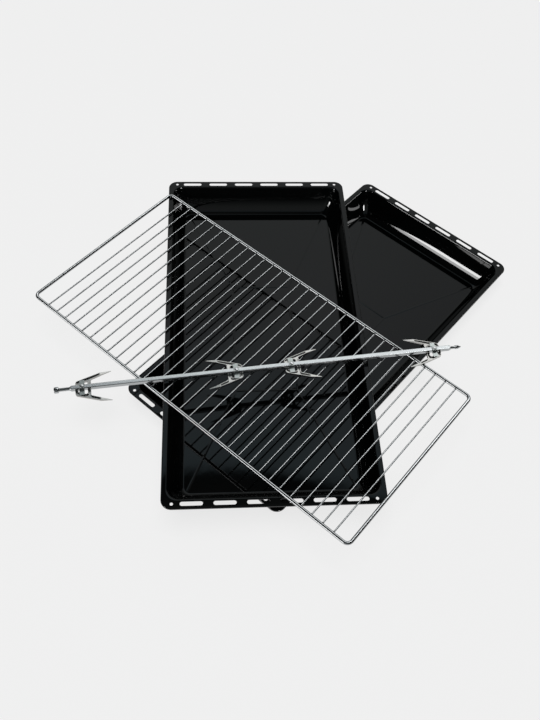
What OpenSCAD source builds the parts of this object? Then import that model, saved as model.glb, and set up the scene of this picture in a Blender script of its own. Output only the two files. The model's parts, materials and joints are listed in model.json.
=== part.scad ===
// Accessory set of a wide kitchen range oven: two deep enamelled trays laid across
// each other, a chromed wire rack on top, and a rotisserie spit with four forks.
// The row stands on the lower tray: X runs along its long side, Z is up.

/* [Trays] */
// Length of a tray over its rim, across the oven
tray_l = 756; // [560:2:900]
// Width of a tray over its rim, front to back
tray_w = 376; // [280:2:460]
// Height of a tray from its underside to the top of its rim
tray_h = 52; // [30:1:80]
// Thickness of the enamelled sheet
tray_t = 1; // [0.8:0.1:2]
// Width of the rim along the long sides
rim_long = 11; // [8:0.5:20]
// Width of the rim along the short sides, which carry the slots
rim_short = 18.5; // [15:0.5:30]
// How far a long wall leans in from rim to floor
lean_long = 22; // [10:0.5:35]
// How far a short wall leans in from rim to floor
lean_short = 28; // [10:0.5:40]
// How much of a long wall's lean its steep upper part takes
upper_lean_long = 3.5; // [1:0.5:6]
// How much of a short wall's lean its steep upper part takes
upper_lean_short = 4.5; // [1:0.5:6]
// Height above the floor of the hollow where the wall turns from steep to slanted
hollow_up = 18.5; // [14:0.5:22]
// Corner radius of the rim's outer edge
rim_corner_r = 18; // [12:0.5:24]
// Corner radius where the wall leaves the rim
mouth_corner_r = 20; // [14:0.5:30]
// Corner radius where the wall meets the floor
floor_corner_r = 15; // [10:0.5:24]
// Height of the rim's turned-down edge
rim_lip = 3; // [2:0.5:6]
// Reach of the round bend between rim and wall
mouth_bend = 3.5; // [2:0.5:6]
// Reach of the round bend between wall and floor
floor_bend = 3.5; // [2:0.5:8]

/* [Tray rim slots and holes] */
// Least width of rim left between a corner hole and the next slot
slot_end_gap = 6; // [4:0.5:10]
// Distance from slot to slot
slot_pitch = 55; // [44:1:60]
// Length of a slot over its round ends
slot_l = 38; // [20:1:42]
// Width of a slot
slot_w = 7.5; // [4:0.5:9]
// Diameter of the round hole in each corner of the rim
corner_hole_d = 5.5; // [4:0.5:8]
// Distance of the corner hole from the tray's long edge
corner_hole_in = 18; // [14:0.5:26]
// Distance of slots and holes from the tray's short edge
slot_line_in = 9.2; // [7:0.1:12]

/* [Tray floor beads] */
// Half length of the rectangle pressed in the floor
bead_half_l = 124; // [80:1:200]
// Half width of the rectangle pressed in the floor
bead_half_w = 57; // [40:1:100]
// Radius of a pressed bead's crown
bead_r = 3.2; // [2:0.1:5]
// How high a bead stands above the floor
bead_rise = 0.6; // [0.3:0.1:1.2]

/* [Rack] */
// Length of the rack over its frame
rack_l = 758; // [560:1:900]
// Width of the rack over its frame
rack_w = 376; // [280:1:460]
// Diameter of the frame wire
frame_d = 6.5; // [5:0.1:9]
// Inner radius of the frame's bent corners
frame_bend_in = 6.5; // [4:0.5:20]
// Diameter of a cross wire
wire_d = 3; // [2:0.1:4.5]
// Distance from cross wire to cross wire
wire_pitch = 22.8; // [20:0.1:30]
// Least distance from the frame's short side to the nearest cross wire
wire_end_gap = 25; // [15:1:40]
// How far the row of cross wires stands off the rack's middle
wire_shift = -2.7; // [-5:0.1:5]
// How deep a cross wire's end is welded into the frame wire
weld_depth = 0.6; // [0.3:0.1:1]

/* [Spit] */
// Length of the spit over all
spit_l = 745.5; // [600:0.5:900]
// Side of the square bar
bar_side = 8; // [6:0.5:10]
// Diameter of the round head at the handling end
head_d = 11.5; // [9:0.5:16]
// Length of the round head
head_l = 8.5; // [6:0.5:12]
// Diameter of the round neck behind the head
neck_d = 6.4; // [5:0.1:7.5]
// Length of the round neck
neck_l = 18; // [12:0.5:30]
// Length of the turned shoulder between neck and square bar
shoulder_l = 4; // [2:0.5:6]
// Diameter of the groove before the point
groove_d = 5.2; // [4:0.1:6]
// Length of the groove
groove_l = 8; // [4:0.5:12]
// Diameter of the round land behind the point
land_d = 6.8; // [5:0.1:8]
// Length of the round land
land_l = 6; // [3:0.5:10]
// Length of the point's cone
point_l = 6; // [3:0.5:12]

/* [Forks] */
// Length of a fork from its heel to its points
fork_l = 63; // [56:0.5:90]
// Half width of a fork over its heel
heel_half_w = 14; // [12:0.5:18]
// Distance from the heel to the elbow of a prong
elbow_x = 43.5; // [36:0.5:60]
// Half width of a fork over the elbows
elbow_half_w = 28.5; // [24:0.5:36]
// Half width of a fork over its points
point_half_w = 30.5; // [26:0.5:38]
// Width of a prong beside the clamp
prong_w = 7.5; // [6:0.5:9]
// Width of a prong at its elbow
prong_elbow_w = 5; // [4:0.5:6]
// Depth of the prong's channel
prong_h = 4; // [3:0.5:6]
// Thickness of the fork's sheet
fork_t = 1; // [0.8:0.1:1.5]
// Distance from the heel to the middle of the clamp
clamp_x = 11.5; // [9:0.5:14]
// Width of the clamp strap along the bar
clamp_w = 9; // [6:0.5:10]
// Length of the heel's cross channel along the bar
heel_l = 5; // [4:0.5:6]
// Distance from the heel to the front cross channel
web_x = 21.5; // [19:0.5:26]
// Length of the front cross channel along the bar
web_l = 5.5; // [4:0.5:7]
// Outer radius of the bend at the heel's corners
heel_r = 5; // [2:0.5:6]
// Radius of the fillets where the cross channels meet the prongs
web_fillet_r = 3; // [1:0.5:4]
// Width of an ear beside the bar
ear_w = 3.5; // [2:0.5:5]
// Height of an ear's top above the bar's axis
ear_top = 1.6; // [0:0.1:3.5]
// Thickness of the clamp strap
clamp_t = 1; // [0.8:0.1:1.5]
// Diameter of the clamp screw's head
screw_head_d = 7; // [5:0.5:8]
// Height of the clamp screw's head
screw_head_h = 1.6; // [1:0.1:3]
// Diameter of the clamp screw's shank
screw_d = 4; // [3:0.5:5]
// Width of the driver slot in the screw's head
screw_slot_w = 1; // [0.8:0.1:1.4]

/* [Lay of the set] */
// Place of the upper tray's middle along X
tray_upper_x = -114.2; // [-150:0.1:150]
// Place of the upper tray's middle along Y
tray_upper_y = 74.7; // [-100:0.1:100]
// Turn of the upper tray's long side from X
tray_upper_turn = 43.84; // [20:0.01:90]
// Place of the rack's middle along X
rack_x = -180.5; // [-220:0.1:0]
// Place of the rack's middle along Y
rack_y = 60.3; // [-100:0.1:100]
// Turn of the rack's long side from X
rack_turn = 90.6; // [60:0.1:120]
// Place of the spit's head end along X
spit_x = -487.3; // [-520:0.1:-400]
// Place of the spit's head end along Y
spit_y = 239.1; // [150:0.1:300]
// Turn of the spit from X
spit_turn = -39.95; // [-60:0.05:-20]
// Place of the first fork's heel along the spit, from its head end
heel_1 = 36.6; // [31:0.1:110]
// Place of the second fork's heel, from the head end
heel_2 = 332.8; // [250:0.1:370]
// Place of the third fork's heel, from the head end
heel_3 = 410.9; // [380:0.1:490]
// Place of the fourth fork's heel, from the spit's point
heel_4 = 41; // [28:0.1:115]

/* [Fits] */
// Gap between two round wires or bars that lie on each other
lay_gap = 0.3; // [0.1:0.1:0.5]
// Gap between the two trays where they stand flat on each other
stack_gap = 0.1; // [0.05:0.05:0.3]
// Gap between the bar and the fork round it, on each side
bar_gap = 0.2; // [0.1:0.05:0.4]
// Gap between the clamp screw and its thread
screw_gap = 0.05; // [0.02:0.01:0.1]

/* [Hidden] */
// Segments of a tray's quarter corner, of a bend and of a tray's hollow wall
corner_steps = 8;
bend_steps = 4;
wall_steps = 6;
$fn = 48;
// Heights at which the pieces lie on each other
tray_upper_z = tray_h + stack_gap;
rack_axis_z = tray_upper_z + tray_h + lay_gap + frame_d / 2;
fork_drop = bar_side / 2 + bar_gap + fork_t;
spit_axis_z = rack_axis_z + frame_d / 2 + lay_gap + fork_drop;
// Rack frame, by its wire's centre line
frame_line_l = rack_l - frame_d;
frame_line_w = rack_w - frame_d;
frame_bend_r = frame_bend_in + frame_d / 2;
wire_l = frame_line_w - frame_d + 2 * weld_depth;
// Cross wires and slots: as many as find room
wire_count = 1 + floor((frame_line_l - 2 * (wire_end_gap + abs(wire_shift))) / wire_pitch);
slot_room = tray_w - 2 * (corner_hole_in + corner_hole_d / 2 + slot_end_gap);
slot_count = 1 + floor((slot_room - slot_l) / slot_pitch);
// Forks: heights above the bar's axis, and the side that each one faces
fork_low = -fork_drop;
prong_top = fork_low + prong_h;
clamp_low = bar_side / 2 + bar_gap;
forks = [[heel_1, 1], [heel_2, -1], [heel_3, 1], [spit_l - heel_4, -1]];
eps = 0.01;

function two_digits(k) = str(k < 10 ? "0" : "", k);
WIRES = [for (k = [1:wire_count]) str("rack_wire_", two_digits(k))];
FORK_NODES = [for (k = [1:4]) each [str("fork_", k, "_blade"), str("fork_", k, "_clamp"), str("fork_", k, "_screw")]];

// One quarter corner of a rounded rectangle, and the whole ring, counter-clockwise
function ring_corner(cx, cy, r, z, q) =
    [for (i = [0:corner_steps])
        let (a = 90 * (q + i / corner_steps))
        [cx + r * cos(a), cy + r * sin(a), z]];
// A ring is given as [inset at the short sides, inset at the long sides, corner radius, height]
function tray_ring(p) =
    let (x = tray_l / 2 - p[0] - p[2], y = tray_w / 2 - p[1] - p[2])
    concat(
        ring_corner(x, y, p[2], p[3], 0),
        ring_corner(-x, y, p[2], p[3], 1),
        ring_corner(-x, -y, p[2], p[3], 2),
        ring_corner(x, -y, p[2], p[3], 3));
// A round bend from a to c that leaves the corner b free
function bend(a, b, c, steps = bend_steps) =
    [for (i = [0:steps])
        let (t = i / steps)
        pow(1 - t, 2) * a + 2 * t * (1 - t) * b + pow(t, 2) * c];

// Corners of the sheet's section on its upper face, and the slopes of the two parts of the wall
mouth = [rim_short, rim_long, mouth_corner_r, tray_h];
hollow = [rim_short + upper_lean_short, rim_long + upper_lean_long, mouth_corner_r, tray_t + hollow_up];
foot = [rim_short + lean_short, rim_long + lean_long, floor_corner_r, tray_t];
function slope(low, high) =
    [for (side = [0, 1]) atan2(high[3] - low[3], low[side] - high[side])];
level = [0, 0];
lower_slope = slope(foot, hollow);
upper_slope = slope(hollow, mouth);
edge_bend = 2 * tray_t;

// The corner of the underside below the corner p, between runs of slope a and b
function under(p, a, b) =
    let (
        out = [for (side = [0, 1]) tray_t * sin((a[side] + b[side]) / 2) / cos((a[side] - b[side]) / 2)],
        drop = [for (side = [0, 1]) tray_t * cos((a[side] + b[side]) / 2) / cos((a[side] - b[side]) / 2)])
    p + [-out[0], -out[1], out[1], -(drop[0] + drop[1]) / 2];
mouth_under = under(mouth, upper_slope, level);
hollow_under = under(hollow, lower_slope, upper_slope);
foot_under = under(foot, level, lower_slope);

// One face of the sheet from the floor up the wall to the rim, with the reach of its two bends
function face(foot, hollow, mouth, foot_reach, mouth_reach) =
    let (
        low = foot + (hollow - foot) * foot_reach / (hollow[3] - foot[3]),
        high = mouth + (hollow - mouth) * mouth_reach / (mouth[3] - hollow[3]),
        wall = bend(low, hollow, high, wall_steps))
    concat(
        bend(foot + foot_reach * [1, 1, -1, 0], foot, low),
        [for (i = [1:wall_steps - 1]) wall[i]],
        bend(high, mouth, mouth - mouth_reach * [1, 1, 0, 0]));
upper_face = face(foot, hollow, mouth, floor_bend, mouth_bend);
lower_face = face(foot_under, hollow_under, mouth_under,
                  floor_bend + tray_t * tan(lower_slope[1] / 2),
                  mouth_bend - tray_t * tan(upper_slope[1] / 2));

SHEET = concat(
    upper_face,
    bend([edge_bend, edge_bend, rim_corner_r - edge_bend, tray_h],
         [0, 0, rim_corner_r, tray_h],
         [0, 0, rim_corner_r, tray_h - edge_bend]),
    [[0, 0, rim_corner_r, tray_h - rim_lip],
     [tray_t, tray_t, rim_corner_r - tray_t, tray_h - rim_lip]],
    bend([tray_t, tray_t, rim_corner_r - tray_t, tray_h - edge_bend],
         [tray_t, tray_t, rim_corner_r - tray_t, tray_h - tray_t],
         [edge_bend, edge_bend, rim_corner_r - edge_bend, tray_h - tray_t]),
    [for (i = [len(lower_face) - 1:-1:0]) lower_face[i]]);

// The pressed sheet: rings lofted from the floor over the rim and back under it
module tray_sheet() {
    rings = [for (p = SHEET) tray_ring(p)];
    n = len(rings[0]);
    last = len(rings) - 1;
    sides = [for (i = [0:last - 1]) for (j = [0:n - 1])
        let (k = (j + 1) % n, a = i * n, b = a + n)
        each [[a + j, a + k, b + k], [a + j, b + k, b + j]]];
    polyhedron(
        points = [for (r = rings) each r],
        faces = concat(
            [[for (j = [n - 1:-1:0]) j]],
            sides,
            [[for (j = [0:n - 1]) last * n + j]]));
}

// A low crown along the floor from p to q: a rod of radius r, cut off flat below
module crown(p, q, r, low_z) {
    d = q - p;
    lead = r / 4;
    translate([p[0], p[1], 0])
        rotate([90, 0, 90 + atan2(d[1], d[0])])
        translate([0, 0, -lead])
        linear_extrude(height = norm(d) + 2 * lead)
        intersection() {
            translate([0, tray_t + bead_rise - bead_r])
                circle(r = r);
            translate([-r, low_z])
                square([2 * r, r]);
        }
}

// Where the beads run: round the middle rectangle, and from it to the floor's corners
bead_corner = [bead_half_l, bead_half_w];
flat_corner_r = floor_corner_r - floor_bend - bead_r;
floor_corner = [tray_l / 2 - foot[0], tray_w / 2 - foot[1]]
    - [1, 1] * (floor_corner_r - flat_corner_r / sqrt(2));
module beads(r, low_z) {
    for (s = [-1, 1]) {
        near = [s * bead_corner[0], s * bead_corner[1]];
        far = [s * bead_corner[0], -s * bead_corner[1]];
        crown(-far, near, r, low_z);
        crown(near, far, r, low_z);
        crown(near, s * floor_corner, r, low_z);
        crown(far, [s * floor_corner[0], -s * floor_corner[1]], r, low_z);
    }
}

module rim_slot() {
    linear_extrude(height = 2 * tray_t, center = true) {
        square([slot_w, slot_l - slot_w], center = true);
        for (s = [-1, 1])
            translate([0, s * (slot_l - slot_w) / 2])
            circle(d = slot_w);
    }
}

module rim_cuts() {
    for (sx = [-1, 1])
        translate([sx * (tray_l / 2 - slot_line_in), 0, tray_h - tray_t / 2]) {
            for (k = [1:slot_count])
                translate([0, (k - (slot_count + 1) / 2) * slot_pitch, 0])
                rim_slot();
            for (sy = [-1, 1])
                translate([0, sy * (tray_w / 2 - corner_hole_in), 0])
                cylinder(d = corner_hole_d, h = 2 * tray_t, center = true);
        }
}

// A deep tray standing on the plane z = 0
module tray() {
    color("#222526")
    difference() {
        union() {
            tray_sheet();
            beads(bead_r, tray_t / 2);
        }
        beads(bead_r - tray_t, -tray_t);
        rim_cuts();
    }
}

module tray_lower() {
    tray();
}

module tray_upper() {
    translate([tray_upper_x, tray_upper_y, tray_upper_z])
        rotate([0, 0, tray_upper_turn])
        tray();
}

module on_rack() {
    translate([rack_x, rack_y, rack_axis_z])
        rotate([0, 0, rack_turn])
        children();
}

// The closed frame: four straight runs and four bent corners of one wire
module rack_frame() {
    run_l = frame_line_l - 2 * frame_bend_r;
    run_w = frame_line_w - 2 * frame_bend_r;
    color("#c9cbcc")
    on_rack() {
        for (s = [-1, 1]) {
            translate([0, s * frame_line_w / 2, 0])
                rotate([0, 90, 0])
                cylinder(d = frame_d, h = run_l, center = true);
            translate([s * frame_line_l / 2, 0, 0])
                rotate([90, 0, 0])
                cylinder(d = frame_d, h = run_w, center = true);
        }
        for (q = [0:3])
            translate([(q % 3 == 0 ? 1 : -1) * run_l / 2, (q < 2 ? 1 : -1) * run_w / 2, 0])
            rotate([0, 0, 90 * q])
            rotate_extrude(angle = 90)
            translate([frame_bend_r, 0])
            circle(d = frame_d);
    }
}

module rack_wire(k) {
    color("#d4d6d7")
    on_rack()
        translate([wire_shift + (k - (wire_count + 1) / 2) * wire_pitch, 0, 0])
        rotate([90, 0, 0])
        cylinder(d = wire_d, h = wire_l, center = true);
}

module on_spit(along = 0) {
    translate([spit_x, spit_y, spit_axis_z])
        rotate([0, 0, spit_turn])
        translate([along, 0, 0])
        children();
}

// A turned shape about X, from [distance along X, radius] points
module turned(points) {
    rotate([90, 0, 90])
        rotate_extrude()
        polygon([for (p = points) [p[1], p[0]]]);
}

bar_start = head_l + neck_l;
groove_end = spit_l - point_l - land_l;
bar_end = groove_end - groove_l;
module spit_bar() {
    round_over = head_l / 5;
    corner_r = bar_side * sqrt(2) / 2 + bar_gap / 2;
    chamfer = corner_r - groove_d / 2;
    color("#c4c9cf")
    on_spit() {
        turned([
            [0, 0],
            [0, head_d / 2 - round_over],
            [round_over * 0.3, head_d / 2 - round_over * 0.3],
            [round_over, head_d / 2],
            [head_l - round_over, head_d / 2],
            [head_l - round_over * 0.3, head_d / 2 - round_over * 0.3],
            [head_l, head_d / 2 - round_over],
            [head_l, neck_d / 2],
            [bar_start + shoulder_l / 2, neck_d / 2],
            [bar_start + shoulder_l / 2, 0]]);
        intersection() {
            translate([bar_start, -bar_side / 2, -bar_side / 2])
                cube([bar_end - bar_start, bar_side, bar_side]);
            turned([
                [bar_start, 0],
                [bar_start, neck_d / 2],
                [bar_start + shoulder_l, corner_r],
                [bar_end - chamfer, corner_r],
                [bar_end, groove_d / 2],
                [bar_end, 0]]);
        }
        turned([
            [bar_end - groove_l / 2, 0],
            [bar_end - groove_l / 2, groove_d / 2],
            [groove_end, groove_d / 2],
            [groove_end, land_d / 2],
            [groove_end + land_l, land_d / 2],
            [spit_l, land_d / 12],
            [spit_l, 0]]);
    }
}

// Plan of one prong's channel, inset by t on every side
prong_slope = (elbow_half_w - heel_half_w) / elbow_x;
prong_angle = atan(prong_slope);
inner_slope = prong_slope + (prong_w - prong_elbow_w) / elbow_x;
inner_angle = atan(inner_slope);
slant = 1 / cos(prong_angle);
function inner_edge(x, t) = heel_half_w - (prong_w - t) * slant + inner_slope * x;
function prong_plan(t) =
    let (
        r = heel_r - t,
        cy = heel_half_w + prong_slope * heel_r - heel_r * slant,
        end_x = elbow_x - t)
    concat(
        [for (i = [0:corner_steps])
            let (a = 180 - (90 - prong_angle) * i / corner_steps)
            [heel_r + r * cos(a), cy + r * sin(a)]],
        [[end_x, heel_half_w + prong_slope * end_x - t * slant],
         [end_x, inner_edge(end_x, t)],
         [t, inner_edge(t, t)]]);

// Plan of the fillet between a prong and a cross channel's edge at x, on the edge's front (d = 1)
// or back (d = -1)
function web_fillet(x, d, t) =
    let (
        r = web_fillet_r,
        c = [x + d * r, inner_edge(x, 0) - r / tan((90 + d * inner_angle) / 2)],
        start = d > 0 ? 180 : 0,
        arc = [for (i = [0:bend_steps])
            let (a = start + (90 + inner_angle - start) * i / bend_steps)
            c + (r + t) * [cos(a), sin(a)]],
        last = arc[bend_steps],
        inside = x - d * (t + fork_t))
    concat(
        arc,
        [[last[0], last[1] + fork_t],
         [inside, inner_edge(x, t) + fork_t],
         [inside, c[1]]]);

module fork_plan(t) {
    reach = heel_half_w - heel_r;
    web_end = web_x + web_l;
    for (s = [1, -1])
        scale([1, s]) {
            polygon(prong_plan(t));
            polygon(web_fillet(heel_l, 1, t));
            polygon(web_fillet(web_x, -1, t));
            polygon(web_fillet(web_end, 1, t));
        }
    translate([t, -reach])
        square([heel_l - 2 * t, 2 * reach]);
    translate([web_x + t, -reach - prong_slope * web_end])
        square([web_l - 2 * t, 2 * (reach + prong_slope * web_end)]);
}

// The solid point of a prong: pointed in plan, and thinner towards its end
module prong_point() {
    tip_w = 0.8;
    tip_h = 1;
    end_y = elbow_half_w;
    intersection() {
        translate([0, 0, fork_low])
            linear_extrude(height = prong_h)
            polygon([
                [elbow_x - eps, end_y],
                [fork_l, point_half_w],
                [fork_l, point_half_w - tip_w],
                [elbow_x - eps, end_y - prong_elbow_w]]);
        rotate([90, 0, 0])
            translate([0, 0, -2 * point_half_w])
            linear_extrude(height = 2 * point_half_w)
            polygon([
                [elbow_x - 1, fork_low],
                [fork_l, fork_low + (prong_h - tip_h) / 2],
                [fork_l, fork_low + (prong_h + tip_h) / 2],
                [elbow_x, prong_top],
                [elbow_x - 1, prong_top]]);
    }
}

// An arc round c from the angle a to the angle b
function arc(c, r, a, b) =
    [for (i = [0:bend_steps])
        let (t = a + (b - a) * i / bend_steps)
        c + r * [cos(t), sin(t)]];

// The ears of one cross channel, which stand beside the bar, round at their outer corner
module ears(x, l) {
    near = bar_side / 2 + bar_gap;
    low = prong_top - fork_t;
    r = ear_w / 2;
    outline = concat(
        [[near, ear_top], [near, low], [near + ear_w, low]],
        arc([near + ear_w - r, ear_top - r], r, 0, 90));
    for (s = [0, 1], dx = [0, l - fork_t])
        translate([x + dx, 0, 0])
        mirror([0, s, 0])
        rotate([90, 0, 90])
        linear_extrude(height = fork_t)
        polygon(outline);
}

// A pressed fork in its own place: the bar's axis is X, the heel is at 0
module fork_blade_shape() {
    difference() {
        union() {
            translate([0, 0, fork_low])
                linear_extrude(height = prong_h)
                fork_plan(0);
            for (s = [0, 1])
                mirror([0, s, 0])
                prong_point();
            ears(0, heel_l);
            ears(web_x, web_l);
        }
        translate([0, 0, fork_low + fork_t])
            linear_extrude(height = prong_h)
            fork_plan(fork_t);
        translate([-1, -bar_side / 2 - bar_gap, -bar_side / 2 - bar_gap])
            cube([web_x + web_l + 2, bar_side + 2 * bar_gap, 2 * bar_side]);
    }
}

// The strap over the bar: a top with two legs, and two feet that lie on the prongs
module fork_clamp_shape() {
    leg_y = bar_side / 2 + bar_gap;
    foot_y = heel_half_w + prong_slope * (clamp_x - clamp_w / 2) - fork_t;
    top_r = 2 * bar_gap;
    top_c = [leg_y - top_r, clamp_low - top_r];
    foot_c = [leg_y, prong_top] + 2 * clamp_t * [1, 1];
    half = concat(
        arc(top_c, top_r, 90, 0),
        arc(foot_c, 2 * clamp_t, 180, 270),
        [[foot_y, prong_top], [foot_y, prong_top + clamp_t]],
        arc(foot_c, clamp_t, 270, 180),
        arc(top_c, top_r + clamp_t, 0, 90));
    section = concat(half, [for (i = [len(half) - 1:-1:0]) [-half[i][0], half[i][1]]]);
    difference() {
        translate([clamp_x - clamp_w / 2, 0, 0])
            rotate([90, 0, 90])
            linear_extrude(height = clamp_w)
            polygon(section);
        translate([clamp_x, 0, 0])
            cylinder(r = screw_d / 2 + screw_gap, h = 2 * bar_side);
    }
}

// The clamp screw: a low domed head with a driver slot, and a shank that ends on the bar
module fork_screw_shape() {
    head_z = clamp_low + clamp_t + screw_gap;
    brim = screw_head_h / 3;
    translate([clamp_x, 0, 0])
    difference() {
        union() {
            translate([0, 0, bar_side / 2 + screw_gap])
                cylinder(d = screw_d, h = head_z + eps - bar_side / 2 - screw_gap);
            translate([0, 0, head_z])
                rotate_extrude()
                polygon(concat(
                    [[0, 0], [screw_head_d / 2, 0]],
                    [for (i = [0:bend_steps])
                        let (a = 90 * i / bend_steps)
                        [screw_head_d / 2 * cos(a), brim + (screw_head_h - brim) * sin(a)]]));
        }
        translate([-screw_head_d, -screw_slot_w / 2, head_z + screw_head_h / 2])
            cube([2 * screw_head_d, screw_slot_w, screw_head_h]);
    }
}

module on_fork(k) {
    on_spit(forks[k - 1][0])
        rotate([0, 0, forks[k - 1][1] > 0 ? 0 : 180])
        children();
}

module fork_blade(k) {
    color("#a8a59e")
    on_fork(k)
        fork_blade_shape();
}

module fork_clamp(k) {
    color("#b4bab8")
    on_fork(k)
        fork_clamp_shape();
}

module fork_screw(k) {
    color("#d8dad9")
    on_fork(k)
        fork_screw_shape();
}

tray_lower();
tray_upper();
rack_frame();
for (k = [1:wire_count])
    rack_wire(k);
spit_bar();
for (k = [1:4]) {
    fork_blade(k);
    fork_clamp(k);
    fork_screw(k);
}
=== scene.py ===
"""Looks of a set of oven accessories: two enamelled trays, a chromed rack and a spit with forks."""

import json
import math

import bpy
import numpy as np
from mathutils import Matrix, Vector

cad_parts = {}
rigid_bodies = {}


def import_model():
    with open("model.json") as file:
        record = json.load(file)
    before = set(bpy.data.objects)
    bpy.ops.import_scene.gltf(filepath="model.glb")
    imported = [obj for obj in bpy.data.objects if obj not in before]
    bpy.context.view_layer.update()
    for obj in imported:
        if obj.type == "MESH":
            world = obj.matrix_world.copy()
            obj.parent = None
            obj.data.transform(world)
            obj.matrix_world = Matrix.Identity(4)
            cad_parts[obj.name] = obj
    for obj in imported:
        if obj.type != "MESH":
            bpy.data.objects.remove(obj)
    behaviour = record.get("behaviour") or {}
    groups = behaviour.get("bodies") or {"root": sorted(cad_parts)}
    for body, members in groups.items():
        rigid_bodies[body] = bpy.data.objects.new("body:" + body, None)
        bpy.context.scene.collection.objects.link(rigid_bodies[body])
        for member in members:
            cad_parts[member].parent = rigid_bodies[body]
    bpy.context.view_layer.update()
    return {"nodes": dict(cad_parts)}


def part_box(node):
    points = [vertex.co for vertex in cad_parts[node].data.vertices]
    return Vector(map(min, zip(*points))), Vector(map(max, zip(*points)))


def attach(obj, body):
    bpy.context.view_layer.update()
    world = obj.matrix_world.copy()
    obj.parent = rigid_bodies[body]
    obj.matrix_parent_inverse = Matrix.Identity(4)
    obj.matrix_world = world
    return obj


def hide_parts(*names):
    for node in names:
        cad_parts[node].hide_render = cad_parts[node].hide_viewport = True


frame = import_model()
mm = 0.001

# The view
# The camera stands in front of the set, to its left, and looks steeply down on it. It is held
# turned by a few degrees, as the picture's tilted rims show.
eye = Vector((-817.8, -468.6, 1291.1)) * mm
looks_at = Vector((-151.1, 26.1, 60.0)) * mm
roll = math.radians(5.143)
lens_mm = 38.85
film_long_side_mm = 36

forward = (looks_at - eye).normalized()
level_right = forward.cross(Vector((0, 0, 1))).normalized()
level_up = level_right.cross(forward)
right = level_right * math.cos(roll) + level_up * math.sin(roll)
up = right.cross(forward)
camera_data = bpy.data.cameras.new("camera")
camera_data.lens = lens_mm
camera_data.sensor_width = film_long_side_mm
camera_data.sensor_fit = "AUTO"
camera_data.clip_end = 100
camera = bpy.data.objects.new("camera", camera_data)
bpy.context.scene.collection.objects.link(camera)
camera.matrix_world = Matrix.Translation(eye) @ Matrix((right, up, -forward)).transposed().to_4x4()
bpy.context.scene.camera = camera
bpy.context.scene.view_settings.view_transform = "Standard"

# The studio
# A pale floor, one strong soft light from the left, a weak one from the right, and a large dim
# panel of sky behind the set. The rest of the room is dark, and the glossy enamel mirrors it all.
paper_white = (0.86, 0.86, 0.86, 1)
backdrop_white = (0.863, 0.863, 0.863, 1)
floor_half = 8.0
floor_light_share = 0.10
sky_grey = (0.40, 0.43, 0.43, 1)
panel_turn = math.radians(40)
light_distance = 16.0


class Wire:
    """A node's output. Its operators add the Math nodes that do the sum, product or power."""

    def __init__(self, finish, socket):
        self.finish = finish
        self.socket = socket

    def maths(self, operation, first, second):
        return self.finish.add("ShaderNodeMath", {"operation": operation}, {0: first, 1: second})

    def __add__(self, other):
        return self.maths("ADD", self, other)

    def __radd__(self, other):
        return self.maths("ADD", other, self)

    def __sub__(self, other):
        return self.maths("SUBTRACT", self, other)

    def __rsub__(self, other):
        return self.maths("SUBTRACT", other, self)

    def __mul__(self, other):
        return self.maths("MULTIPLY", self, other)

    def __rmul__(self, other):
        return self.maths("MULTIPLY", other, self)

    def __pow__(self, other):
        return self.maths("POWER", self, other)


class Finish:
    """A tree of shader nodes, of a material or of the sky. add() makes any node."""

    def __init__(self, owner):
        owner.use_nodes = True
        self.owner = owner
        self.tree = owner.node_tree
        self.tree.nodes.clear()

    def add(self, kind, settings, sockets, output=0):
        node = self.tree.nodes.new(kind)
        for name, value in settings.items():
            if name == "stops":
                self.place_stops(node.color_ramp, value)
            else:
                setattr(node, name, value)
        for name, value in sockets.items():
            if isinstance(value, Wire):
                self.tree.links.new(value.socket, node.inputs[name])
            else:
                node.inputs[name].default_value = value
        return Wire(self, node.outputs[output])

    def place_stops(self, ramp, stops):
        while len(ramp.elements) < len(stops):
            ramp.elements.new(0.5)
        for element, (position, colour) in zip(ramp.elements, stops):
            element.position = position
            element.color = colour

    def blend(self, share, first, second):
        return self.add("ShaderNodeMix", {"data_type": "RGBA"}, {0: share, 6: first, 7: second}, 2)

    def noise(self, scale, detail=2.0, stretch=(1, 1, 1), turn=0.0):
        """Noise in object coordinates, turned about Z and stretched along the axes."""
        place = self.add("ShaderNodeTexCoord", {}, {}, "Object")
        turned = self.add("ShaderNodeMapping", {"vector_type": "POINT"},
                          {"Vector": place, "Rotation": (0, 0, -turn)})
        scaled = self.add("ShaderNodeVectorMath", {"operation": "MULTIPLY"},
                          {0: turned, 1: stretch})
        return self.add("ShaderNodeTexNoise", {}, {"Vector": scaled, "Scale": scale,
                                                   "Detail": detail, "Roughness": 0.55})

    def bump(self, height, strength, distance):
        return self.add("ShaderNodeBump", {}, {"Height": height, "Strength": strength,
                                               "Distance": distance})

    def finish_with(self, sockets):
        surface = self.add("ShaderNodeBsdfPrincipled", {}, sockets)
        self.add_output("ShaderNodeOutputMaterial", surface)
        return self.owner

    def add_output(self, kind, surface):
        output = self.tree.nodes.new(kind)
        self.tree.links.new(surface.socket, output.inputs["Surface"])


def new_finish(name):
    return Finish(bpy.data.materials.new(name))


def soft_light(name, turn, height, wide, tall, radiance):
    """A rectangular lamp that faces the set, with its turn and height and its width and height as
    angles in degrees. Its power is pi times its area times its radiance."""
    turn = math.radians(turn)
    height = math.radians(height)
    data = bpy.data.lights.new(name, "AREA")
    data.shape = "RECTANGLE"
    data.size = 2 * light_distance * math.tan(math.radians(wide / 2))
    data.size_y = 2 * light_distance * math.tan(math.radians(tall / 2))
    data.energy = math.pi * data.size * data.size_y * radiance
    light = bpy.data.objects.new(name, data)
    bpy.context.scene.collection.objects.link(light)
    towards = Vector((math.cos(height) * math.cos(turn), math.cos(height) * math.sin(turn),
                      math.sin(height)))
    light.location = towards * light_distance
    light.rotation_euler = towards.to_track_quat("Z", "Y").to_euler()
    return light


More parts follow.
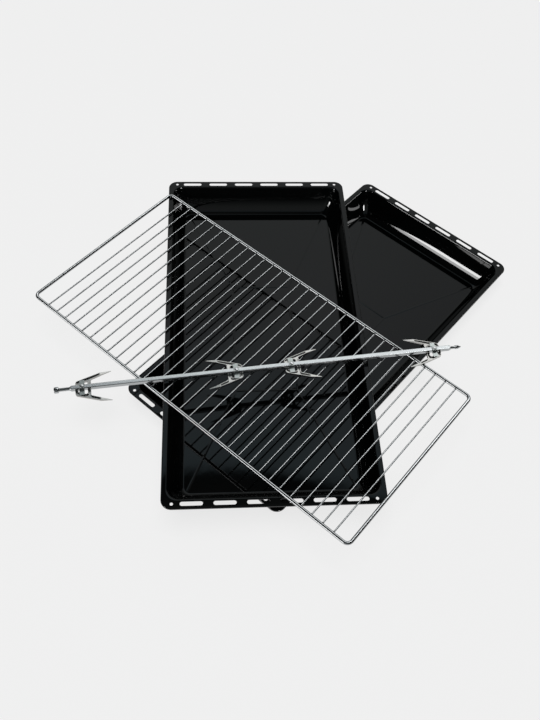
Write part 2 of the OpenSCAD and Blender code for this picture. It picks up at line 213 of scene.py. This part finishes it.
enamel_lamps = [soft_light("low_softbox", 166, 25, 14, 10, 20),
                soft_light("high_softbox", 166, 35, 14, 10, 9),
                soft_light("key_light", 247, 38, 8, 22, 32),
                soft_light("side_light", -51, 16, 14, 15, 8)]
metal_lamps = [soft_light("metal_panel", 26, 44, 44, 36, 1.3),
               soft_light("wide_softbox", 165, 14, 44, 18, 3.9),
               soft_light("top_strip", 0, 63, 8, 22, 4.6)]
ground_lamp = soft_light("ground_lamp", 200, 80, 30, 30, 12)

sky = Finish(bpy.data.worlds.new("sky"))
bpy.context.scene.world = sky.owner
direction = sky.add("ShaderNodeTexCoord", {}, {}, "Generated")
height = sky.add("ShaderNodeSeparateXYZ", {}, {"Vector": direction}, "Z")
facing = sky.add("ShaderNodeVectorMath", {"operation": "DOT_PRODUCT"},
                 {0: direction, 1: (math.cos(panel_turn), math.sin(panel_turn), 0)}, "Value")
level = 1.0 - height * height
by_height = sky.add("ShaderNodeValToRGB", {"stops": [
    (0.10, (0.02, 0.02, 0.02, 1)),
    (0.42, (0.55, 0.55, 0.55, 1)),
    (0.62, (0.95, 0.95, 0.93, 1)),
    (0.79, (1.08, 1.05, 1.08, 1)),
    (0.897, (0.82, 0.98, 1.08, 1)),
    (0.902, (0.03, 0.03, 0.03, 1)),
    (0.935, (0.3, 0.3, 0.3, 1))]}, {"Fac": height})
by_turn = sky.add("ShaderNodeValToRGB", {"stops": [
    (0.07, (0.45, 0.45, 0.45, 1)),
    (0.10, (0.03, 0.03, 0.03, 1)),
    (0.847, (0.03, 0.03, 0.03, 1)),
    (0.883, (0.70, 0.70, 0.70, 1)),
    (0.970, (0.88, 0.88, 0.88, 1)),
    (0.994, (1, 1, 1, 1))]}, {"Fac": 0.5 + 0.5 * facing * level ** -0.5})
glow = sky.add("ShaderNodeMix", {"data_type": "RGBA", "blend_type": "MULTIPLY"},
               {0: 1.0, 6: by_height, 7: by_turn}, 2)
lit = sky.add("ShaderNodeMix", {"data_type": "RGBA", "blend_type": "MULTIPLY"},
              {0: 1.0, 6: glow, 7: sky_grey}, 2)
seen = sky.add("ShaderNodeLightPath", {}, {}, "Is Camera Ray")
sky_light = sky.add("ShaderNodeBackground", {}, {"Color": lit, "Strength": 1.0})
sky_seen = sky.add("ShaderNodeBackground", {}, {"Color": backdrop_white, "Strength": 1.0})
sky.add_output("ShaderNodeOutputWorld",
               sky.add("ShaderNodeMixShader", {}, {0: seen, 1: sky_light, 2: sky_seen}))

floor_mesh = bpy.data.meshes.new("floor")
floor_corners = [(-floor_half, -floor_half, 0), (floor_half, -floor_half, 0),
                 (floor_half, floor_half, 0), (-floor_half, floor_half, 0)]
floor_mesh.from_pydata(floor_corners, [], [(0, 1, 2, 3)])
floor = bpy.data.objects.new("floor", floor_mesh)
bpy.context.scene.collection.objects.link(floor)
paper = new_finish("pale_paper")
path = paper.tree.nodes.new("ShaderNodeLightPath")
looked_at = (Wire(paper, path.outputs["Is Camera Ray"])
             + Wire(paper, path.outputs["Is Glossy Ray"])
             + Wire(paper, path.outputs["Is Transmission Ray"]))
paper_lit = paper.add("ShaderNodeBsdfDiffuse", {}, {"Color": paper_white})
paper_glow = paper.add("ShaderNodeEmission", {}, {"Color": paper_white, "Strength": 1.0})
paper.add_output("ShaderNodeOutputMaterial",
                 paper.add("ShaderNodeMixShader", {},
                           {0: looked_at * (1 - floor_light_share), 1: paper_lit, 2: paper_glow}))
floor_mesh.materials.append(paper.owner)

# The two trays
# Deep baking trays pressed from one steel sheet and coated with black glass enamel. The rim is
# rolled over and turned down; the short rims are punched with slots for air.
tray_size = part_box("tray_lower")[1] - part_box("tray_lower")[0]
tray_l, tray_w, tray_h = tray_size
tray_t = 1 * mm
rim_long = 11 * mm
rim_short = 18.5 * mm
lean_long = 22 * mm
lean_short = 28 * mm
rim_corner_r = 18 * mm
mouth_corner_r = 20 * mm
wall_corner_r = 20 * mm
floor_corner_r = 15 * mm
rim_lip = 3 * mm
mouth_bend = 3.5 * mm
floor_bend = 3.5 * mm
belly_in_short = 4.5 * mm
belly_in_long = 3.5 * mm
belly_up = 18.5 * mm
edge_bend = 2 * tray_t
tray_upper_turn = math.radians(43.84)
slot_count = 6
slot_pitch = 55 * mm
slot_l = 38 * mm
slot_w = 7.5 * mm
corner_hole_d = 5.5 * mm
corner_hole_in = 18 * mm
slot_line_in = 9.2 * mm
bead_half_l = 124 * mm
bead_half_w = 57 * mm
bead_r = 3.2 * mm
bead_rise = 0.28 * mm


def round_bend(start, corner, end, steps):
    """Rows from start to end on the quadratic curve that leaves the corner free:
    (1-t)^2 start + 2t(1-t) corner + t^2 end."""
    t = np.linspace(0, 1, steps + 1)[:, None]
    return (1 - t) ** 2 * start + 2 * t * (1 - t) * corner + t ** 2 * end


def rounded_rectangles(sections, length, width, steps):
    """One closed ring for each row [inset at the short sides, inset at the long sides, corner
    radius, height]: a corner's middle plus its radius times (cos a, sin a), for a once round."""
    quarter = np.arange(4)[:, None]
    a = np.radians(90 * (quarter + np.linspace(0, 1, steps + 1)))
    side_x = np.array([1, -1, -1, 1])[:, None]
    side_y = np.array([1, 1, -1, -1])[:, None]
    inset_x, inset_y, radius, height = sections.T[:, :, None, None]
    x = side_x * (length / 2 - inset_x - radius) + radius * np.cos(a)
    y = side_y * (width / 2 - inset_y - radius) + radius * np.sin(a)
    z = np.broadcast_to(height, x.shape)
    return np.stack([x, y, z], -1).reshape(len(sections), -1, 3)


def loft_faces(rows, across, closed=False):
    """Quads between neighbouring rows of a grid whose rows are closed rings. With closed, the
    last row joins the first; otherwise a face closes each end."""
    row = np.arange(rows if closed else rows - 1)[:, None]
    column = np.arange(across)[None, :]
    next_row = (row + 1) % rows
    next_column = (column + 1) % across
    quads = np.stack([row * across + column, row * across + next_column,
                      next_row * across + next_column, next_row * across + column], -1)
    faces = quads.reshape(-1, 4).tolist()
    if not closed:
        faces.append(list(range(across))[::-1])
        faces.append(list(range((rows - 1) * across, rows * across)))
    return faces


def new_mesh(name, points, faces, smooth_angle=35):
    """A mesh from points and faces, shaded smooth where faces meet at less than the angle."""
    mesh = bpy.data.meshes.new(name)
    mesh.from_pydata(np.asarray(points).reshape(-1, 3).tolist(), [], faces)
    mesh.validate()
    mesh.shade_smooth()
    mesh.set_sharp_from_angle(angle=math.radians(smooth_angle))
    return mesh


def new_piece(name, mesh, finish, body, slot, *nodes):
    """Puts a mesh into the scene as a piece that rides on a body and stands for CAD nodes."""
    piece = bpy.data.objects.new(name, mesh)
    bpy.context.scene.collection.objects.link(piece)
    mesh.materials.clear()
    mesh.materials.append(finish)
    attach(piece, body)
    if nodes:
        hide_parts(*nodes)
    return piece


def tray_sections():
    """The sheet's section from the middle of the floor over the rim and back under it. The wall is
    one hollow curve from the mouth to the floor. Below, each corner of the section is moved by
    (n1 + n2) / (1 + n1.n2) of the thickness, for the normals n1 and n2 of its two runs."""
    mouth = np.array([rim_short, rim_long, mouth_corner_r, tray_h])
    foot = np.array([rim_short + lean_short, rim_long + lean_long, floor_corner_r, tray_t])
    belly = np.array([rim_short + belly_in_short, rim_long + belly_in_long, wall_corner_r,
                      tray_t + belly_up])
    flat = np.array([1, 1, -1, 0])

    def normals(low, high):
        rise = high[3] - low[3]
        tilt = np.arctan2(low[:2] - high[:2], rise)
        return np.cos(tilt), np.sin(tilt)

    def lowered(corner, first, second):
        share = tray_t / (1 + first[0] * second[0] + first[1] * second[1])
        inset = share * (first[0] + second[0])
        drop = np.mean(share * (first[1] + second[1]))
        return corner + np.array([-inset[0], -inset[1], inset[1], -drop])

    level = (np.zeros(2), np.ones(2))
    lower_wall = normals(foot, belly)
    upper_wall = normals(belly, mouth)
    foot_below = lowered(foot, level, lower_wall)
    belly_below = lowered(belly, lower_wall, upper_wall)
    mouth_below = lowered(mouth, upper_wall, level)

    def upper_face(foot, belly, mouth, at_foot, at_mouth):
        on_lower = foot + (belly - foot) * at_foot / (belly[3] - foot[3])
        on_upper = mouth + (belly - mouth) * at_mouth / (mouth[3] - belly[3])
        return np.concatenate([
            round_bend(foot + at_foot * flat, foot, on_lower, 6),
            round_bend(on_lower, belly, on_upper, 20)[1:-1],
            round_bend(on_upper, mouth, mouth - at_mouth * np.array([1, 1, 0, 0]), 8)])

    edge = np.array([0, 0, rim_corner_r, tray_h])
    inner_edge = edge + tray_t * (flat + np.array([0, 0, 0, -1]))
    down = np.array([0, 0, 0, -1])
    return np.concatenate([
        upper_face(foot, belly, mouth, floor_bend, mouth_bend),
        round_bend(edge + edge_bend * flat, edge, edge + edge_bend * down, 6),
        [edge + (rim_lip - 0.3 * tray_t) * down],
        [edge + rim_lip * down + 0.3 * tray_t * flat],
        [edge + rim_lip * down + 0.7 * tray_t * flat],
        [edge + (rim_lip - 0.3 * tray_t) * down + tray_t * flat],
        round_bend(inner_edge + (edge_bend - tray_t) * down, inner_edge,
                   inner_edge + (edge_bend - tray_t) * flat, 4),
        upper_face(foot_below, belly_below, mouth_below, floor_bend + tray_t / 3,
                   mouth_bend - tray_t / 2)[::-1]])


def punch_outline(centre_x, centre_y, length, width, steps):
    """A slot's outline: two half circles of the slot's width, one at each end of its length."""
    a = np.linspace(0, np.pi, steps + 1)
    half_round = np.stack([np.cos(a), np.sin(a)], -1) * width / 2
    shift = np.array([0, (length - width) / 2])
    outline = np.concatenate([half_round + shift, -half_round - shift])
    return outline + (centre_x, centre_y)


def punch_points():
    """Every slot and corner hole as an upright prism through the rim."""
    outlines = []
    for side in (-1, 1):
        x = side * (tray_l / 2 - slot_line_in)
        for k in range(slot_count):
            y = (k - (slot_count - 1) / 2) * slot_pitch
            outlines.append(punch_outline(x, y, slot_l, slot_w, 12))
        for y_side in (-1, 1):
            y = y_side * (tray_w / 2 - corner_hole_in)
            outlines.append(punch_outline(x, y, corner_hole_d + 0.01 * mm, corner_hole_d, 12))
    heights = (tray_h - 2 * tray_t, tray_h + tray_t)
    points, faces = [], []
    for outline in outlines:
        first = sum(len(p) for p in points)
        rings = [np.column_stack([outline, np.full(len(outline), z)]) for z in heights]
        points.append(np.concatenate(rings))
        faces.extend([[i + first for i in f] for f in loft_faces(2, len(outline))])
    return np.concatenate(points), faces


def bead_crown(start, end, steps=12):
    """A pressed bead: across it a raised cosine of the bead's width and rise, carried from start
    to end, with round ends where the rise dies away."""
    half = 0.9 * bead_r
    along = end - start
    length = np.linalg.norm(along)
    along = along / length
    across = np.array([-along[1], along[0]])
    cap = np.linspace(0, np.pi / 2, 5)
    s = np.concatenate([-half * np.cos(cap), length + half * np.sin(cap)])
    v = np.linspace(-1, 1, steps + 1)
    over = np.maximum(np.maximum(-s, s - length), 0) / half
    reach = np.sqrt(np.maximum(1 - over ** 2, 0))[:, None] * v[None, :]
    away = np.sqrt(over[:, None] ** 2 + reach ** 2)
    x = start[0] + s[:, None] * along[0] + reach * half * across[0]
    y = start[1] + s[:, None] * along[1] + reach * half * across[1]
    z = tray_t + bead_rise * (1 + np.cos(np.pi * np.minimum(away, 1))) / 2 - 0.02 * mm
    return np.stack([x, y, z], -1)


def grid_quads(rows, columns, first):
    row = np.arange(rows - 1)[:, None]
    column = np.arange(columns - 1)[None, :]
    corner = first + row * columns + column
    return np.stack([corner, corner + columns, corner + columns + 1, corner + 1], -1).reshape(-1, 4)


def bead_surfaces():
    """The beads: a rectangle in the middle of the floor and a line from each of its corners to
    the floor's corner."""
    corner = np.array([bead_half_l, bead_half_w])
    reach = floor_corner_r - (floor_corner_r - floor_bend - bead_r) / math.sqrt(2)
    floor_corner = np.array([tray_l / 2 - rim_short - lean_short - reach,
                             tray_w / 2 - rim_long - lean_long - reach])
    lines = []
    for x_side, y_side in ((1, 1), (-1, 1), (-1, -1), (1, -1)):
        here = corner * (x_side, y_side)
        lines.append((here, corner * (-y_side, x_side)))
        lines.append((here, floor_corner * (x_side, y_side)))
    points, faces = [], []
    for start, end in lines:
        crown = bead_crown(start, end)
        first = sum(len(p) for p in points)
        faces.extend(grid_quads(crown.shape[0], crown.shape[1], first).tolist())
        points.append(crown.reshape(-1, 3))
    return np.concatenate(points), faces


def cut_through(mesh, cutter_mesh):
    """The mesh with the cutter taken away, by one exact Boolean that is applied at once."""
    body = bpy.data.objects.new("blank", mesh)
    cutter = bpy.data.objects.new("punch", cutter_mesh)
    for item in (body, cutter):
        bpy.context.scene.collection.objects.link(item)
    cut = body.modifiers.new("cut", "BOOLEAN")
    cut.operation = "DIFFERENCE"
    cut.solver = "EXACT"
    cut.object = cutter
    bpy.context.view_layer.update()
    evaluated = body.evaluated_get(bpy.context.evaluated_depsgraph_get())
    result = bpy.data.meshes.new_from_object(evaluated)
    bpy.data.objects.remove(body)
    bpy.data.objects.remove(cutter)
    return result


def enamel_finish():
    """Black glass enamel: a deep gloss with faint orange peel, fine specks and dust."""
    finish = new_finish("black_enamel")
    peel = finish.noise(55, 1.0)
    specks = finish.noise(900, 1.0)
    dust = finish.noise(9, 3.0)
    speck = finish.add("ShaderNodeValToRGB", {"stops": [
        (0.66, (0, 0, 0, 1)), (0.74, (1, 1, 1, 1))]}, {"Fac": specks})
    colour = finish.blend(speck, (0.0008, 0.001, 0.001, 1), (0.004, 0.0045, 0.0045, 1))
    return finish.finish_with({
        "Base Color": colour,
        "Roughness": 0.026 + 0.04 * dust,
        "Normal": finish.bump(peel, 0.012, 0.002),
        "IOR": 1.5})


def tray_mesh():
    sections = tray_sections()
    rings = rounded_rectangles(sections, tray_l, tray_w, 16)
    blank = new_mesh("blank", rings, loft_faces(len(rings), rings.shape[1]))
    punch_at, punch_faces = punch_points()
    punches = new_mesh("punches", punch_at, punch_faces)
    pressed = cut_through(blank, punches)
    bead_at, bead_faces = bead_surfaces()
    beads = new_mesh("beads", bead_at, bead_faces)
    pressed.shade_smooth()
    pressed.set_sharp_from_angle(angle=math.radians(35))
    return pressed, beads


enamel = enamel_finish()
tray_body, tray_beads = tray_mesh()
for node in ("tray_lower", "tray_upper"):
    low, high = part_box(node)
    turn = tray_upper_turn if node == "tray_upper" else 0
    place = (Matrix.Translation(((low.x + high.x) / 2, (low.y + high.y) / 2, low.z))
             @ Matrix.Rotation(turn, 4, "Z"))
    sheet = tray_body.copy()
    sheet.transform(place)
    piece = new_piece(node + "_sheet", sheet, enamel, node, "enamel", node)
    even = piece.modifiers.new("even_light", "WEIGHTED_NORMAL")
    even.keep_sharp = True
    crowns = tray_beads.copy()
    crowns.transform(place)
    new_piece(node + "_beads", crowns, enamel, node, "enamel")

# The rack
# A frame of thick wire bent to a rectangle and butt welded, with thin cross wires welded between
# its long sides. All of it is chromed after welding.
rack_l = 758 * mm
rack_w = 376 * mm
frame_d = 6.5 * mm
frame_bend_in = 6.5 * mm
wire_d = 3 * mm
wire_pitch = 22.8 * mm
wire_shift = -2.7 * mm
wire_count = 31
weld_depth = 0.6 * mm
weld_flare = 0.9 * mm
rack_turn = math.radians(90.6)
rack_low, rack_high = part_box("rack_frame")
rack_place = (Matrix.Translation((rack_low + rack_high) / 2) @ Matrix.Rotation(rack_turn, 4, "Z"))


def frame_tube(around, steps):
    """A round tube carried once round a rounded rectangle: a ring's point is the line's point
    plus the wire's radius times (outwards cos b + up sin b)."""
    line_r = frame_bend_in + frame_d / 2
    line = rounded_rectangles(np.array([[frame_d / 2, frame_d / 2, line_r, 0]]), rack_l, rack_w, steps)[0]
    a = np.radians(90 * (np.arange(4)[:, None] + np.linspace(0, 1, steps + 1))).ravel()
    outwards = np.stack([np.cos(a), np.sin(a), np.zeros_like(a)], -1)
    b = np.linspace(0, 2 * np.pi, around, endpoint=False)
    ring = (frame_d / 2) * (outwards[:, None, :] * np.cos(b)[None, :, None]
                            + np.array([0, 0, 1]) * np.sin(b)[None, :, None])
    return line[:, None, :] + ring


def turned_rod(along, radius, around, axis):
    """A turned surface: at each distance along the axis a ring of the given radius."""
    b = np.linspace(0, 2 * np.pi, around, endpoint=False)
    ring = np.stack([np.cos(b), np.sin(b)], -1)
    points = np.zeros((len(along), around, 3))
    side = [i for i in range(3) if i != axis]
    points[..., axis] = np.asarray(along)[:, None]
    points[..., side[0]] = radius[:, None] * ring[None, :, 0]
    points[..., side[1]] = radius[:, None] * ring[None, :, 1]
    return points


def chrome_finish():
    """Bright nickel and chrome on drawn wire, a little rough, with a faint grey bloom."""
    finish = new_finish("rack_chrome")
    bloom = finish.noise(40, 3.0)
    fine = finish.noise(160, 2.0)
    colour = finish.blend(bloom, (0.46, 0.47, 0.47, 1), (0.40, 0.41, 0.42, 1))
    return finish.finish_with({
        "Base Color": colour,
        "Metallic": 1.0,
        "Roughness": 0.07 + 0.03 * bloom,
        "Normal": finish.bump(fine, 0.01, 0.0005)})


chrome = chrome_finish()
frame_rings = frame_tube(20, 12)
frame_mesh = new_mesh("rack_frame", frame_rings,
                      [f[::-1] for f in loft_faces(len(frame_rings), 20, closed=True)])
frame_mesh.transform(rack_place)
new_piece("rack_frame_wire", frame_mesh, chrome, "rack", "rack_chrome", "rack_frame")

wire_half = (rack_w - 2 * frame_d) / 2 + weld_depth
weld_at = wire_half - np.array([0, 0.5, 1.0, 1.6, 2.4]) * mm
weld_r = wire_d / 2 + weld_flare * np.array([1, 0.55, 0.3, 0.1, 0])
wire_along = np.concatenate([-weld_at, weld_at[::-1]])
wire_radius = np.concatenate([weld_r, weld_r[::-1]])
for k in range(wire_count):
    rings = turned_rod(wire_along, wire_radius, 14, 1)
    rings[..., 0] += wire_shift + (k - (wire_count - 1) / 2) * wire_pitch
    mesh = new_mesh("wire", rings, [f[::-1] for f in loft_faces(len(rings), 14)])
    mesh.transform(rack_place)
    node = f"rack_wire_{k + 1:02d}"
    new_piece(f"cross_wire_{k + 1:02d}", mesh, chrome, "rack", "rack_chrome", node)

# The spit
# A bar of drawn square steel, bright plated. Its handling end is turned to a neck with a round
# head, and its driven end to a groove, a land and a point.
spit_l = 745.5 * mm
bar_side = 8 * mm
head_d = 11.5 * mm
head_l = 8.5 * mm
neck_d = 6.4 * mm
neck_l = 18 * mm
shoulder_l = 4 * mm
groove_d = 5.2 * mm
groove_l = 8 * mm
land_d = 6.8 * mm
land_l = 6 * mm
point_l = 6 * mm
square_power = 12
spit_turn = math.radians(-39.95)
spit_low, spit_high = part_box("spit_bar")
spit_axis_z = (spit_low.z + spit_high.z) / 2
spit_start = Vector((-487.3 * mm, 239.1 * mm, spit_axis_z))
spit_place = Matrix.Translation(spit_start) @ Matrix.Rotation(spit_turn, 4, "Z")


def spit_surface(around):
    """At each distance the ring is the smaller of two: the turned radius there, and the rounded
    square h / (|cos b|^p + |sin b|^p)^(1/p)."""
    round_over = head_l / 5
    bar_start = head_l + neck_l
    groove_end = spit_l - point_l - land_l
    bar_end = groove_end - groove_l
    free = bar_side
    turned = np.array([
        [0, 0.2 * head_d], [0, head_d / 2 - round_over],
        [round_over * 0.3, head_d / 2 - round_over * 0.3], [round_over, head_d / 2],
        [head_l - round_over, head_d / 2],
        [head_l - round_over * 0.3, head_d / 2 - round_over * 0.3],
        [head_l, head_d / 2 - round_over], [head_l, neck_d / 2 + 0.4 * mm],
        [head_l + 0.5 * mm, neck_d / 2], [bar_start, neck_d / 2],
        [bar_start + shoulder_l * 0.25, neck_d / 2 + 0.25 * mm],
        [bar_start + shoulder_l * 0.5, neck_d / 2 + 0.9 * mm],
        [bar_start + shoulder_l * 0.75, neck_d / 2 + 1.8 * mm],
        [bar_start + shoulder_l, free], [bar_start + 2 * shoulder_l, free],
        [bar_end - 4 * mm, free], [bar_end - 3 * mm, bar_side * 0.71],
        [bar_end - 1.5 * mm, groove_d / 2 + 1.4 * mm], [bar_end - 0.5 * mm, groove_d / 2 + 0.3 * mm],
        [bar_end, groove_d / 2], [groove_end - 0.3 * mm, groove_d / 2],
        [groove_end, groove_d / 2 + 0.3 * mm], [groove_end + 0.2 * mm, land_d / 2],
        [groove_end + land_l, land_d / 2], [groove_end + land_l + 0.5 * mm, land_d / 2 - 0.3 * mm],
        [spit_l - 0.3 * mm, land_d / 10], [spit_l, land_d / 20]])
    b = np.linspace(0, 2 * np.pi, around, endpoint=False)
    square = (bar_side / 2) / (np.abs(np.cos(b)) ** square_power
                               + np.abs(np.sin(b)) ** square_power) ** (1 / square_power)
    radius = np.minimum(turned[:, 1][:, None], square[None, :])
    head = turned[:, 0] <= head_l
    radius[head] = turned[head, 1][:, None]
    x = np.broadcast_to(turned[:, 0][:, None], radius.shape)
    return np.stack([x, radius * np.cos(b), radius * np.sin(b)], -1)


def bar_finish():
    """Bright zinc plate on drawn steel: cool and shiny, with fine marks along the bar."""
    finish = new_finish("spit_plate")
    marks = finish.noise(900, 2.0, (0.02, 1, 1), spit_turn)
    cloud = finish.noise(30, 3.0)
    colour = finish.blend(cloud, (0.46, 0.475, 0.48, 1), (0.38, 0.395, 0.40, 1))
    return finish.finish_with({
        "Base Color": colour,
        "Metallic": 1.0,
        "Roughness": 0.19 + 0.10 * marks,
        "Normal": finish.bump(marks, 0.08, 0.0005)})


plate = bar_finish()
spit_rings = spit_surface(48)
spit_mesh = new_mesh("spit", spit_rings, loft_faces(len(spit_rings), 48))
spit_mesh.transform(spit_place)
new_piece("spit_steel_bar", spit_mesh, plate, "spit", "spit_steel", "spit_bar")

# The forks
# Each fork is pressed from sheet: two channel shaped prongs joined by two cross channels, with
# ears beside the bar. A zinc strap and a screw clamp it to the bar.
edge_round = 0.3 * mm


def sheet_finish():
    """Nickel plated pressed sheet: warm grey, soft shine, with faint press marks."""
    finish = new_finish("fork_sheet")
    marks = finish.noise(350, 3.0)
    cloud = finish.noise(60, 3.0)
    colour = finish.blend(cloud, (0.31, 0.305, 0.29, 1), (0.42, 0.415, 0.40, 1))
    return finish.finish_with({
        "Base Color": colour,
        "Metallic": 1.0,
        "Roughness": 0.12 + 0.09 * marks,
        "Normal": finish.bump(marks, 0.12, 0.0004)})


def zinc_finish():
    """Passivated zinc: pale, slightly green and blotchy."""
    finish = new_finish("clamp_zinc")
    cloud = finish.noise(90, 4.0)
    colour = finish.blend(cloud, (0.28, 0.305, 0.295, 1), (0.40, 0.425, 0.415, 1))
    return finish.finish_with({
        "Base Color": colour,
        "Metallic": 1.0,
        "Roughness": 0.22 + 0.16 * cloud,
        "Normal": finish.bump(cloud, 0.1, 0.0005)})


def screw_finish():
    """Bright plated screw."""
    finish = new_finish("screw_steel")
    cloud = finish.noise(300, 3.0)
    colour = finish.blend(cloud, (0.74, 0.75, 0.75, 1), (0.62, 0.63, 0.64, 1))
    return finish.finish_with({
        "Base Color": colour,
        "Metallic": 1.0,
        "Roughness": 0.15 + 0.15 * cloud,
        "Normal": finish.bump(cloud, 0.05, 0.0003)})


fork_finishes = {"blade": sheet_finish(), "clamp": zinc_finish(), "screw": screw_finish()}
for k in range(1, 5):
    for part, finish in fork_finishes.items():
        node = frame["nodes"][f"fork_{k}_{part}"]
        node.data.materials.clear()
        node.data.materials.append(finish)
        weld = node.modifiers.new("weld", "WELD")
        weld.merge_threshold = 0.01 * mm
        bevel = node.modifiers.new("bevel", "BEVEL")
        bevel.width = edge_round
        bevel.segments = 2
        bevel.limit_method = "ANGLE"
        bevel.angle_limit = math.radians(40)
        bevel.harden_normals = True

# The lamps' sides
# Enamel mirrors a lamp at a twentieth of its strength and plated metal at half of it, so each has
# lamps of its own, and the floor has one overhead. The sky lights them all.
sides = {"enamel_side": enamel_lamps, "metal_side": metal_lamps, "ground_side": [ground_lamp]}
for side, lamps in sides.items():
    lit_pieces = bpy.data.collections.new(side)
    for piece in bpy.context.scene.objects:
        is_metal = piece.name.startswith(("rack", "cross_wire", "spit", "fork"))
        is_enamel = piece.name.startswith("tray")
        if {"enamel_side": is_enamel, "metal_side": is_metal, "ground_side": piece == floor}[side]:
            lit_pieces.objects.link(piece)
    for lamp in lamps:
        lamp.light_linking.receiver_collection = lit_pieces
